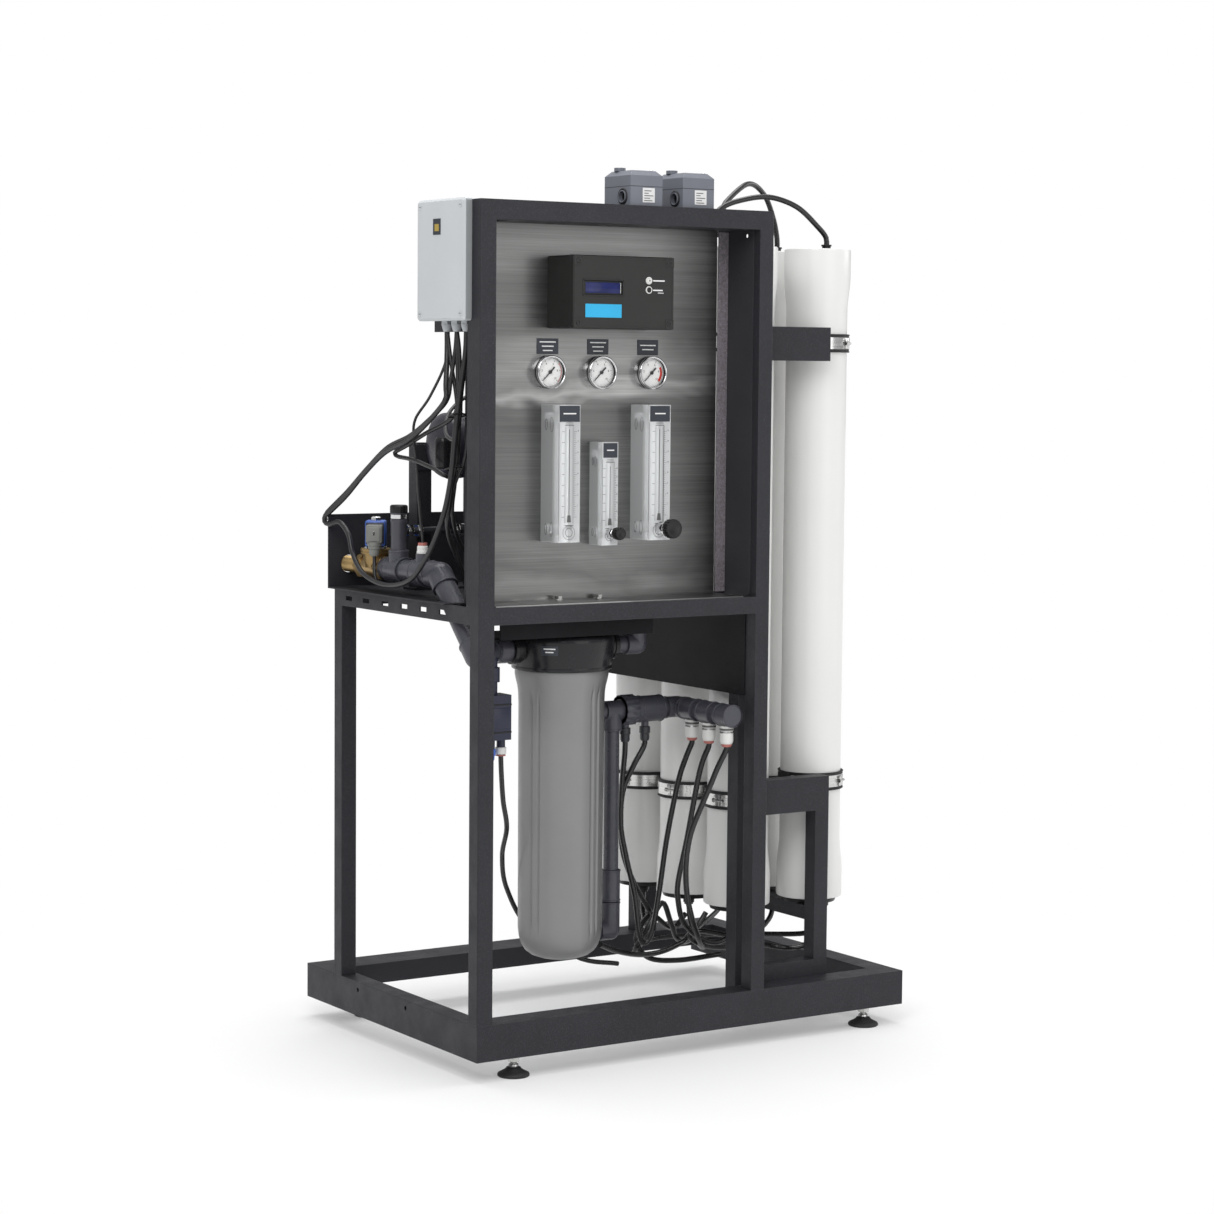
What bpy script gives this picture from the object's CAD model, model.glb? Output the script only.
# A membrane water filter on a floor frame: six white membrane housings at the right, a steel
# instrument panel with gauges, flow meters and controller in the middle, a cartridge filter,
# motor, valves, hoses and cables around it. X runs right, Y runs back, Z runs up.
# Pieces are laid out in millimetres; place() turns a layout point into metres.
import bpy
import bmesh
import math
import random
from mathutils import Matrix, Vector

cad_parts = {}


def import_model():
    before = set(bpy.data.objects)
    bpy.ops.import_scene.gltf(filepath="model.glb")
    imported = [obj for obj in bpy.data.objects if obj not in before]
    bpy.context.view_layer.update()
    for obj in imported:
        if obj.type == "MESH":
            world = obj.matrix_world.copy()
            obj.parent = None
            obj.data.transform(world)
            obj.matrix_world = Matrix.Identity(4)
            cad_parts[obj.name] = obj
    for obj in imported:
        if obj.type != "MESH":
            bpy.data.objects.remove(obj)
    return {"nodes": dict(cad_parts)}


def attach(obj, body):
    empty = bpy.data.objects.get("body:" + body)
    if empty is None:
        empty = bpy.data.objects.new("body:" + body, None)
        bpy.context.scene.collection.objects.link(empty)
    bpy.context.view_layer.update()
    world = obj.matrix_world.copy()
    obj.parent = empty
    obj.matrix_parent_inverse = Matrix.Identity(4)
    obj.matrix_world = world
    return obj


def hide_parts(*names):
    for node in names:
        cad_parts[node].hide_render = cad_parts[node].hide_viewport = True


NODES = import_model()["nodes"]
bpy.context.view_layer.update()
scene = bpy.context.scene
random.seed(7)

ORIGIN = (-453.0, -309.0, 37.0)  # shift from layout to world, mm
FLOOR_Z = -37


def place(x, y, z):
    return Vector([(value + shift) / 1000 for value, shift in zip((x, y, z), ORIGIN)])


def around(x, y, radius, angle):
    """Point at a radius and an angle about (x, y)."""
    return x + radius * math.cos(angle), y + radius * math.sin(angle)


def scaled(color, gain, lift=0.0):
    return tuple(channel * gain + lift for channel in color)


# ------------------------------------------------------------------ shader nodes
class Shader:
    """Node tree of a material or world. An input takes a value or another node's output."""

    def __init__(self, owner):
        owner.use_nodes = True
        self.owner = owner
        self.tree = owner.node_tree
        self.surface = self.tree.nodes.get("Principled BSDF")
        self.coords = self.node("TexCoord")

    def feed(self, node, inputs):
        for key, value in inputs.items():
            socket = node.inputs[key]
            if hasattr(value, "is_output"):
                self.tree.links.new(value, socket)
            elif socket.type == "RGBA":
                socket.default_value = (*value, 1)
            else:
                socket.default_value = value

    def node(self, kind, inputs=(), **settings):
        node = self.tree.nodes.new("ShaderNode" + kind)
        for key, value in settings.items():
            setattr(node, key, value)
        self.feed(node, dict(inputs))
        return node

    def principled(self, **inputs):
        """Set inputs of the main surface; underscores stand for spaces."""
        self.feed(self.surface, {key.replace("_", " "): value for key, value in inputs.items()})

    def noise(self, scale, detail, rough=0.5, stretch=None, distortion=0.0):
        mapping = self.node("Mapping", {"Vector": self.coords.outputs["Object"],
                                        "Scale": stretch or (1, 1, 1)})
        return self.node("TexNoise", {
            "Vector": mapping.outputs["Vector"], "Scale": scale, "Detail": detail,
            "Roughness": rough, "Distortion": distortion}).outputs[0]

    def remap(self, source, to=(0, 1), over=(0.3, 0.7)):
        return self.node("MapRange", {
            "From Min": over[0], "From Max": over[1], "To Min": to[0], "To Max": to[1],
            "Value": source}).outputs["Result"]

    def math(self, operation, a, b):
        return self.node("Math", {0: a, 1: b}, operation=operation).outputs[0]

    def mix(self, factor, a, b, blend_type="MIX"):
        return self.node("Mix", {0: factor, 6: a, 7: b}, data_type="RGBA",
                         blend_type=blend_type).outputs[2]

    def mix_shaders(self, factor, a, b):
        return self.node("MixShader", {0: factor, 1: a, 2: b}).outputs[0]

    def axes(self, space="Object"):
        return self.node("SeparateXYZ", {0: self.coords.outputs[space]}).outputs

    def facing(self, direction):
        """Dot product of the surface normal and a direction."""
        normal = self.node("NewGeometry").outputs["Normal"]
        return self.node("VectorMath", {0: normal, 1: direction},
                         operation="DOT_PRODUCT").outputs["Value"]

    def bevel(self, radius):
        return self.node("Bevel", {"Radius": radius}, samples=4).outputs["Normal"]

    def bump(self, height, strength, distance, **inputs):
        bump = self.node("Bump", {"Height": height, "Strength": strength,
                                  "Distance": distance, **inputs})
        self.principled(Normal=bump.outputs["Normal"])

    def ramp(self, source, stops):
        """Colour ramp through (position, colour) stops."""
        ramp = self.node("ValToRGB", {0: source})
        elements = ramp.color_ramp.elements
        elements.remove(elements[1])
        for index, (position, color) in enumerate(stops):
            element = elements.new(position) if index else elements[0]
            element.position = position
            element.color = (*color, 1)
        return ramp.outputs[0]

    def output(self, name, shader):
        self.feed(self.tree.nodes[name], {"Surface": shader})


def new_shader(name):
    return Shader(bpy.data.materials.new(name))


# -------------------------------------------------------------------- materials
# Fine bump: strength, noise scale, depth in metres. A shorter tuple keeps the rest.
GRAIN = (0.25, 900, 0.00012)


def finish(name, color, rough, metal=0.0, vary=0.12, patches=7, grain=GRAIN, bevel=0, coat=0,
           rough_vary=0.08, stretch=None, wear=0, dust=0, speck=0, specular=0.5, deepen=None):
    """Solid finish: patchy colour, fine grain, and optional specks, dust and worn edges.

    patches is the scale of the colour variation. deepen is (direction, gain, over) and
    darkens the faces turned that way.
    """
    strength, grain_scale, depth = grain + GRAIN[len(grain):]
    g = new_shader(name)
    paint = g.mix(g.remap(g.noise(patches, detail=4, rough=0.6)),
                  scaled(color, 1 - vary), scaled(color, 1 + vary))
    fine = g.noise(grain_scale, detail=2, rough=0.55, stretch=stretch)
    if speck:
        paint = g.mix(g.remap(fine, to=(0, speck), over=(0.52, 0.72)), paint,
                      scaled(color, 3.2, lift=0.02))
    if dust:
        cloud = g.noise(scale=42, detail=6, rough=0.7)
        paint = g.mix(g.remap(cloud, to=(0, dust), over=(0.45, 0.8)), paint, (0.35, 0.34, 0.33))
    rounded = {}
    if bevel:
        rounded["Normal"] = g.bevel(bevel)
        if wear:
            edge = g.remap(g.facing(rounded["Normal"]), to=(wear, 0.0), over=(0.75, 0.99))
            broken = g.remap(g.noise(scale=60, detail=3, rough=0.6), to=(0.3, 1.0))
            paint = g.mix(g.math("MULTIPLY", edge, broken), paint,
                          scaled(color, 2.6, lift=0.05))
    if deepen:
        direction, gain, over = deepen
        shade = g.remap(g.facing(direction), to=(1.0, gain), over=over)
        paint = g.mix(1.0, paint, shade, blend_type="MULTIPLY")
    sheen = g.noise(patches * 5, detail=4, rough=0.6, stretch=stretch and scaled(stretch, 0.2))
    g.principled(Base_Color=paint, Metallic=metal, Specular_IOR_Level=specular,
                 Roughness=g.remap(sheen, to=(rough - rough_vary, rough + rough_vary)))
    g.bump(fine, strength, depth, **rounded)
    if coat:
        g.principled(Coat_Weight=coat, Coat_Roughness=0.12)
    return g.owner


POWDER = finish("powder_coat_anthracite", (0.024, 0.024, 0.029), rough=0.48, vary=0.16, patches=5,
                grain=(0.8, 620, 0.0006), bevel=0.0022, wear=0.4, speck=0.25, rough_vary=0.09,
                specular=0.28)
POWDER_DARK = finish("powder_coat_shaded", (0.008, 0.0075, 0.009), rough=0.5, vary=0.2,
                     patches=5, grain=(0.8, 620, 0.0006), bevel=0.0015, specular=0.12)
RUBBER = finish("rubber_black", (0.014, 0.014, 0.015), rough=0.62, grain=(0.4, 1500), dust=0.05)
BLACK = finish("plastic_black_moulded", (0.012, 0.012, 0.013), rough=0.33,
               grain=(0.35, 1400, 0.00008), bevel=0.0008, wear=0.12, specular=0.35)
CONTROL = finish("controller_abs_black", (0.025, 0.025, 0.024), rough=0.46, specular=0.3,
                 grain=(0.7, 2100), bevel=0.0009, wear=0.1, vary=0.06)
HEAD = finish("filter_head_black", (0.014, 0.014, 0.016), rough=0.25, grain=(0.3, 800, 0.0001),
              bevel=0.0012, coat=0.08, specular=0.3)
SUMP = finish("sump_grey_polypropylene", (0.222, 0.222, 0.222), rough=0.40,
              grain=(0.35, 420, 0.00025), vary=0.05, coat=0.08, rough_vary=0.06,
              deepen=((0.86, -0.51, 0.0), 0.42, (0.45, 0.98)))
PVC = finish("pvc_slate_grey", (0.058, 0.059, 0.074), rough=0.32, grain=(0.25, 500, 0.0002),
             bevel=0.0008, vary=0.15, dust=0.06)
PVC_DARK = finish("pvc_dark_union", (0.030, 0.031, 0.037), rough=0.4, grain=(0.3, 700),
                  bevel=0.0008)
SHELL = finish("frp_white_shell", (0.81, 0.81, 0.795), rough=0.32, grain=(0.5, 38, 0.0006),
               vary=0.018, patches=3, stretch=(1, 1, 0.22), coat=0.2, rough_vary=0.06)
ENCLOSURE = finish("enclosure_light_grey", (0.56, 0.585, 0.60), rough=0.42,
                   grain=(0.45, 1500, 0.0001), bevel=0.0012, vary=0.03,
                   deepen=((0.0, -1.0, 0.0), 0.48, (0.6, 0.98)))
GLAND = finish("gland_light_grey", (0.46, 0.48, 0.50), rough=0.4, grain=(0.3,), bevel=0.0006)
SWITCH = finish("switch_housing_grey", (0.155, 0.165, 0.195), rough=0.38, grain=(0.45, 1300),
                bevel=0.0012, wear=0.2, vary=0.08)
CHROME = finish("polished_bezel", (0.72, 0.72, 0.73), rough=0.13, metal=1.0, grain=(0.06, 600),
                rough_vary=0.05, vary=0.04)
STEEL = finish("machined_steel", (0.58, 0.58, 0.57), rough=0.27, metal=1.0, grain=(0.15,),
               vary=0.1, bevel=0.0004)
ZINC = finish("zinc_bracket", (0.46, 0.46, 0.44), rough=0.38, metal=1.0, grain=(0.3, 300),
              rough_vary=0.1, vary=0.2)
BRASS = finish("cast_brass", (0.44, 0.31, 0.145), rough=0.38, metal=1.0,
               grain=(0.5, 380, 0.0003), vary=0.2, bevel=0.0008)
MOTOR = finish("motor_enamel", (0.022, 0.021, 0.033), rough=0.30, grain=(0.4, 300, 0.0003),
               bevel=0.001, wear=0.2, dust=0.05)
WHITE = finish("white_plastic", (0.72, 0.72, 0.70), rough=0.38, grain=(0.2,), bevel=0.0005,
               vary=0.04)
DIAL = finish("dial_white", (0.86, 0.86, 0.85), rough=0.5, grain=(0.1,), vary=0.02)
INK = finish("ink_black", (0.02, 0.02, 0.02), rough=0.5, grain=(0.1,), vary=0.1)
INK_WHITE = finish("ink_white", (0.80, 0.80, 0.80), rough=0.5, grain=(0.1,), vary=0.05)
RED = finish("enamel_red", (0.62, 0.035, 0.02), rough=0.42, grain=(0.1,), vary=0.06)
COLLET = finish("collet_rose", (0.42, 0.14, 0.12), rough=0.35, grain=(0.15,), vary=0.1)
NAVY = finish("coil_navy", (0.012, 0.015, 0.040), rough=0.38, grain=(0.3,), bevel=0.0008)
BLUE = finish("coil_blue", (0.05, 0.13, 0.50), rough=0.38, grain=(0.3,), bevel=0.0008, vary=0.08)
CYAN = finish("plate_cyan", (0.02, 0.42, 0.74), rough=0.34, grain=(0.15,), vary=0.05)
LABEL = finish("label_slate", (0.022, 0.027, 0.038), rough=0.36, grain=(0.15, 1200))
CONNECTOR = finish("connector_grey", (0.20, 0.205, 0.19), rough=0.46, grain=(0.4, 1100),
                   bevel=0.0008, vary=0.08)
HOSE = finish("hose_black_pe", (0.012, 0.012, 0.013), rough=0.27, grain=(0.2, 260, 0.0001),
              vary=0.1, coat=0.1)
CABLE = finish("cable_black_pvc", (0.016, 0.016, 0.018), rough=0.38, grain=(0.25, 400), dust=0.05)
MEMBRANE = finish("membrane_wrap", (0.7, 0.71, 0.72), rough=0.4, grain=(0.3, 200), vary=0.05)
SEAL_GREY = finish("seal_grey", (0.20, 0.20, 0.21), rough=0.4, grain=(0.1,), vary=0.1)
SEAL_DARK = finish("seal_dark", (0.10, 0.10, 0.10), rough=0.35, grain=(0.1,), vary=0.1)
STICKER = finish("sticker_white", (0.70, 0.70, 0.70), rough=0.45, grain=(0.1, 800), vary=0.04)
AMBER = finish("plate_amber", (0.42, 0.30, 0.05), rough=0.4, grain=(0.1,))
FLANGE = finish("flange_grey", (0.21, 0.19, 0.21), rough=0.42, metal=0.3, vary=0.3, patches=240,
                grain=(0.6, 500), speck=0.3)

# Panel sheen. Rows: world height in metres, brightness.
SHEEN_UP = ((0.812, 0.42), (0.8165, 0.42), (0.818, 0.24), (0.838, 0.25), (0.87, 0.16),
            (0.90, 0.21), (0.96, 0.17), (1.05, 0.18), (1.13, 0.15), (1.158, 0.18),
            (1.176, 0.40), (1.19, 0.24), (1.22, 0.31), (1.27, 0.19), (1.36, 0.20),
            (1.42, 0.26), (1.465, 0.24))
# Rows: world x in metres, gain.
SHEEN_ACROSS = ((-0.425, 0.62), (-0.39, 0.85), (-0.33, 0.92), (-0.2, 1.05), (-0.10, 1.1),
                (-0.03, 0.95), (0.03, 0.68), (0.09, 0.5))


def panel_sheet():
    """Brushed sheet: fine level grain, with broad soft bands of sheen."""
    g = new_shader("stainless_brushed")
    fine = g.noise(scale=1, detail=3, rough=0.65, stretch=(5, 5, 1500))
    mid = g.noise(scale=1, detail=3, rough=0.6, stretch=(0.8, 0.8, 130))
    wave = g.noise(scale=3.4, detail=3, stretch=(1, 1, 2.4), distortion=0.4)

    def bands(axis, sway, low, high, stops):
        along = g.math("ADD", axis, g.remap(wave, to=(-sway, sway)))
        stops = [((at - low) / (high - low), (value,) * 3) for at, value in stops]
        return g.ramp(g.remap(along, over=(low, high)), stops)

    axes = g.axes()
    value = g.math("MULTIPLY",
                   bands(axes["Z"], sway=0.035, low=0.81, high=1.47, stops=SHEEN_UP),
                   bands(axes["X"], sway=0.02, low=-0.43, high=0.10, stops=SHEEN_ACROSS))
    value = g.math("MULTIPLY", value, g.remap(fine, to=(0.84, 1.14), over=(0.35, 0.65)))
    value = g.math("MULTIPLY", value, g.remap(mid, to=(0.90, 1.08), over=(0.35, 0.65)))
    blue = g.math("MULTIPLY", value, 0.985)
    color = g.node("CombineColor", {0: value, 1: value, 2: blue}).outputs[0]
    g.principled(Base_Color=color, Metallic=1.0, Roughness=g.remap(mid, to=(0.30, 0.38)),
                 Anisotropic=0.4)
    g.bump(fine, strength=0.2, distance=0.0001)
    return g.owner


def bright_band():
    """Smudged bright stainless with a level grain."""
    g = new_shader("band_bright")
    base = (0.72, 0.72, 0.71)
    fine = g.noise(scale=1, detail=3, rough=0.65, stretch=(5, 5, 1400))
    mid = g.noise(scale=1, detail=3, rough=0.6, stretch=(0.6, 0.6, 168))
    smudge = g.noise(scale=3.1, detail=5, rough=0.6, stretch=(1, 1, 1.7), distortion=0.6)
    color = g.mix(g.remap(fine, over=(0.35, 0.65)), scaled(base, 0.84), scaled(base, 1.12))
    color = g.mix(g.remap(smudge, to=(0, 0.45), over=(0.35, 0.7)), color, scaled(base, 0.62))
    rough = g.math("ADD", g.remap(mid, to=(0.15, 0.25)), g.remap(smudge, to=(-0.03, 0.06)))
    g.principled(Base_Color=color, Metallic=1.0, Roughness=rough, Anisotropic=0.55)
    g.bump(fine, strength=0.22, distance=0.0001)
    return g.owner


def clear(name, tint, ior, rough, frost):
    """Clear plastic that lets light through to what is behind it."""
    g = new_shader(name)
    g.principled(Base_Color=tint, Transmission_Weight=1.0, IOR=ior,
                 Roughness=g.remap(g.noise(scale=30, detail=3), to=(rough, rough + 0.03)))
    g.bump(g.noise(scale=120, detail=2), strength=0.05, distance=0.0002)
    through = g.node("BsdfTransparent", {"Color": tint}).outputs[0]
    milky = g.node("BsdfDiffuse", {"Color": (0.92, 0.93, 0.94)}).outputs[0]
    frosted = g.mix_shaders(frost, g.surface.outputs[0], milky)
    rays = g.node("LightPath").outputs
    unseen = g.math("MAXIMUM", rays["Is Shadow Ray"], rays["Is Diffuse Ray"])
    g.output("Material Output", g.mix_shaders(unseen, frosted, through))
    return g.owner


def blue_screen():
    g = new_shader("lcd_blue")
    color = g.mix(g.remap(g.noise(scale=60, detail=2)), (0.010, 0.014, 0.070),
                  (0.018, 0.024, 0.11))
    g.principled(Base_Color=color, Roughness=0.12, Emission_Color=color,
                 Emission_Strength=0.12, Specular_IOR_Level=0.25)
    return g.owner


def side_wall():
    """Powder coat on the side plate: lighter beside the panel, deep below it."""
    g = new_shader("powder_coat_side")
    up = g.remap(g.axes()["Z"], over=(0.79, 0.83))
    cloud = g.noise(scale=6, detail=4, rough=0.6)
    light = g.mix(g.remap(cloud), (0.034, 0.033, 0.038), (0.046, 0.044, 0.050))
    deep = g.mix(g.remap(cloud), (0.006, 0.0055, 0.007), (0.010, 0.009, 0.011))
    g.principled(Base_Color=g.mix(up, deep, light), Specular_IOR_Level=0.15,
                 Roughness=g.remap(cloud, to=(0.45, 0.6)))
    g.bump(g.noise(scale=620, detail=2, rough=0.55), strength=0.8, distance=0.0006,
           Normal=g.bevel(0.0015))
    return g.owner


def hardware():
    """Zinc nuts and bolts; the lid screws black, the enclosure screws grey."""
    g = new_shader("hardware_finish")
    border = place(20, 0, 1240)  # plastic screws lie above it, the enclosure's left of it
    axes = g.axes()
    up = g.math("GREATER_THAN", axes["Z"], border.z)
    left = g.math("LESS_THAN", axes["X"], border.x)
    cloud = g.noise(scale=90, detail=4, rough=0.6)
    zinc = g.mix(g.remap(cloud), (0.50, 0.50, 0.48), (0.66, 0.66, 0.64))
    lid = g.mix(g.remap(cloud), (0.018, 0.018, 0.018), (0.030, 0.030, 0.030))
    enclosure = g.mix(g.remap(cloud), (0.40, 0.42, 0.43), (0.48, 0.50, 0.51))
    g.principled(Base_Color=g.mix(up, zinc, g.mix(left, lid, enclosure)),
                 Metallic=g.math("SUBTRACT", 1.0, up),
                 Roughness=g.remap(cloud, to=(0.26, 0.42)), Normal=g.bevel(0.0006))
    return g.owner


BAND = bright_band()
ACRYLIC = clear("acrylic_clear", (0.97, 0.985, 0.98), ior=1.3, rough=0.01, frost=0.46)
LENS = clear("lens_clear", (0.99, 0.99, 0.99), ior=1.12, rough=0.0, frost=0.0)
SCREEN = blue_screen()

# Materials of the CAD pieces
for material, names in (
    (POWDER, "base_frame upright_frame recess_housing pump_deck vessel_rack motor_stand"),
    (POWDER_DARK, "filter_bracket"),
    (side_wall(), "side_plate_right"),
    (panel_sheet(), "instrument_panel"),
    (hardware(), "fasteners"),
    (STEEL, "rotor_shaft solenoid_plunger"),
    (RUBBER, "housing_clamps"),
    (BLACK, "gauge_cases housing_end_caps flow_knob_2 flow_knob_3 "
            "gauge_needle_1 gauge_needle_2 gauge_needle_3"),
    (HEAD, "filter_head filter_relief_button"),
    (DIAL, "gauge_dials"),
    (LENS, "gauge_lenses"),
    (ACRYLIC, "flow_meter_bodies"),
    (CHROME, "flow_meter_fittings flow_float_1 flow_float_2 flow_float_3"),
    (CONTROL, "controller_housing controller_lid"),
    (ENCLOSURE, "electrical_box electrical_box_cover"),
    (SWITCH, "pressure_switches adjusting_cap_1 adjusting_cap_2"),
    (PVC, "inlet_pipe feed_manifold pump_pipes"),
    (PVC_DARK, "inlet_fittings"),
    (MOTOR, "motor_housing fan_cover"),
    (BRASS, "solenoid_valve_body pump_housing"),
    (WHITE, "quick_fittings filter_cartridge button_start button_stop"),
    (MEMBRANE, "membrane_elements"),
    (NAVY, "flush_valve"),
    (SCREEN, "controller_display"),
    (SUMP, "filter_sump"),
    (HOSE, "vessel_hoses manifold_hoses"),
    (BLUE, "solenoid_coil"),
):
    for name in names.split():
        if name in NODES:
            NODES[name].data.materials.clear()
            NODES[name].data.materials.append(material)


# ---------------------------------------------------------------- mesh building
class Part:
    """Gathers geometry in layout millimetres, then makes one object."""

    def __init__(self):
        self.mesh = bmesh.new()
        self.materials = []

    def add(self, points, faces, material):
        if material not in self.materials:
            self.materials.append(material)
        slot = self.materials.index(material)
        corners = [self.mesh.verts.new(place(*point)) for point in points]
        for face in faces:
            try:
                made = self.mesh.faces.new([corners[i] for i in face])
            except ValueError:  # letter outlines may repeat a face or a corner
                continue
            made.material_index = slot
            made.smooth = True

    def lathe(self, profile, x, y, z, material, sides, axis="Z", lobes=None):
        """Turn (radius, distance along the axis) pairs round an axis from (x, y, z).

        Axis "YZ" slopes up to the back at 45 degrees. lobes(angle, along) scales the radius.
        """
        points, rows, faces = [], [], []
        for radius, along in profile:
            count = sides if radius else 1
            rows.append([len(points) + i % count for i in range(sides)])
            for i in range(count):
                angle = 2 * math.pi * i / sides
                reach = radius * (lobes(angle, along) if lobes else 1)
                a = reach * math.cos(angle)
                b = reach * math.sin(angle)
                points.append({
                    "Z": (x + a, y + b, z + along),
                    "Y": (x + a, y + along, z - b),
                    "-Y": (x + a, y - along, z + b),
                    "X": (x + along, y + a, z + b),
                    "YZ": (x + a, y + 0.7071 * (b + along), z + 0.7071 * (along - b)),
                }[axis])
        for low, high in zip(rows, rows[1:]):
            for i in range(sides):
                j = (i + 1) % sides
                # a row on the axis is one repeated point, so its quads become triangles
                faces.append(tuple(dict.fromkeys((low[i], low[j], high[j], high[i]))))
        self.add(points, faces, material)

    def box(self, x, y, z, length, depth, height, material, radius, segments=2,
            turn=0.0, pivot=None):
        """Box with rounded edges, from its low corner; may be turned about an upright axis."""
        cube = bmesh.new()
        bmesh.ops.create_cube(cube, size=1.0)
        for v in cube.verts:
            v.co = Vector((x + (v.co.x + 0.5) * length, y + (v.co.y + 0.5) * depth,
                           z + (v.co.z + 0.5) * height))
        bmesh.ops.bevel(cube, geom=cube.edges[:], segments=segments, profile=0.5,
                        offset=min(radius, 0.49 * min(length, depth, height)),
                        affect="EDGES", clamp_overlap=True)
        points = [tuple(v.co) for v in cube.verts]
        if pivot:
            px, py = pivot
            c, s = math.cos(math.radians(turn)), math.sin(math.radians(turn))
            points = [(px + (a - px) * c - (b - py) * s, py + (a - px) * s + (b - py) * c, up)
                      for a, b, up in points]
        cube.verts.index_update()
        faces = [tuple(v.index for v in face.verts) for face in cube.faces]
        cube.free()
        self.add(points, faces, material)

    def boxes(self, *rows):
        for row in rows:
            self.box(*row)

    def tube(self, stations, radius, material, sides=14, step=7):
        """Capped round tube along a smooth curve through the stations."""
        stops = [Vector(station) for station in stations]
        path = []
        for i, (a, b) in enumerate(zip(stops, stops[1:])):
            before = stops[i - 1] if i else a * 2 - b
            after = stops[i + 2] if i + 2 < len(stops) else b * 2 - a
            count = max(2, int((b - a).length / step))
            for j in range(count):
                t = j / count
                path.append(0.5 * ((2 * a) + (b - before) * t
                                   + (2 * before - 5 * a + 4 * b - after) * t * t
                                   + (3 * a - before - 3 * b + after) * t ** 3))
        path.append(stops[-1])
        last = len(path) - 1
        tangents = [(path[min(i + 1, last)] - path[max(i - 1, 0)]).normalized()
                    for i in range(len(path))]
        across = tangents[0].orthogonal().normalized()
        points, faces = [], []
        for centre, tangent in zip(path, tangents):
            across = (across - tangent * across.dot(tangent)).normalized()
            other = tangent.cross(across)
            for k in range(sides):
                angle = 2 * math.pi * k / sides
                points.append(tuple(centre + across * (radius * math.cos(angle))
                                    + other * (radius * math.sin(angle))))
        for i in range(last):
            for k in range(sides):
                j = (k + 1) % sides
                low, high = i * sides, (i + 1) * sides
                faces.append((low + k, low + j, high + j, high + k))
        faces.append(tuple(range(sides - 1, -1, -1)))
        faces.append(tuple(last * sides + k for k in range(sides)))
        self.add(points, faces, material)

    def text(self, body, x, y, z, size):
        """Flat black lettering centred on (x, z), facing front."""
        curve = bpy.data.curves.new("t", "FONT")
        curve.body = body
        curve.size = size
        curve.align_x = "CENTER"
        curve.align_y = "CENTER"
        letters = bpy.data.objects.new("t", curve)
        scene.collection.objects.link(letters)
        bpy.context.view_layer.update()
        flat = letters.evaluated_get(bpy.context.evaluated_depsgraph_get()).to_mesh()
        points = [(x + v.co.x, y, z + v.co.y) for v in flat.vertices]
        faces = [tuple(polygon.vertices) for polygon in flat.polygons]
        self.add(points, faces, INK)
        bpy.data.objects.remove(letters)
        bpy.data.curves.remove(curve)

    def quad(self, points, material):
        self.add(points, [(0, 1, 2, 3)], material)

    def front_rect(self, x0, x1, z0, z1, y, material):
        self.quad([(x0, y, z0), (x1, y, z0), (x1, y, z1), (x0, y, z1)], material)

    def ribbon(self, pairs, material, order=(0, 1, 3, 2)):
        """Strip of quads between consecutive pairs of points."""
        faces = [tuple(2 * j + k for k in order) for j in range(len(pairs) - 1)]
        self.add([point for pair in pairs for point in pair], faces, material)

    def make(self, name, body="chassis", replaces=None, sharp=38):
        bmesh.ops.recalc_face_normals(self.mesh, faces=self.mesh.faces[:])
        data = bpy.data.meshes.new(name)
        self.mesh.to_mesh(data)
        self.mesh.free()
        for material in self.materials:
            data.materials.append(material)
        data.set_sharp_from_angle(angle=math.radians(sharp))
        made = bpy.data.objects.new(name, data)
        scene.collection.objects.link(made)
        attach(made, body)
        if replaces:
            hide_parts(replaces)


def sweep(start, end, steps):
    """Angles in radians from start to end degrees, both included."""
    return [math.radians(start + (end - start) * j / steps) for j in range(steps + 1)]


# ------------------------------------------------------------ membrane housings
HOUSING_X, HOUSING_Y = (640, 807), (142, 297, 452)
HOUSINGS = [(x, y) for x in HOUSING_X for y in HOUSING_Y]
HOUSING_Z, HOUSING_LENGTH = 196, 1207
HOUSING_TOP = HOUSING_Z + HOUSING_LENGTH
HOUSING_R, RIM_R = 56.5, 61.5

foot = [(51.2, 40), (51.2, 3), (52.5, 0.8), (54, 0), (59.5, 0), (61.2, 1.2), (RIM_R, 4)]
for i in range(13):  # flared end easing into the body
    t = i / 12
    ease = t * t * (3 - 2 * t)
    foot.append((RIM_R - (RIM_R - HOUSING_R) * ease, 48 + 66 * t))
profile = foot + [(HOUSING_R, 200 + 50 * k) for k in range(17)]
profile += [(radius, HOUSING_LENGTH - z) for radius, z in reversed(foot)]
part = Part()
for x, y in HOUSINGS:
    part.lathe(profile, x, y, HOUSING_Z, SHELL, 128)
part.make("housing_shells", replaces="membrane_housings")

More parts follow.
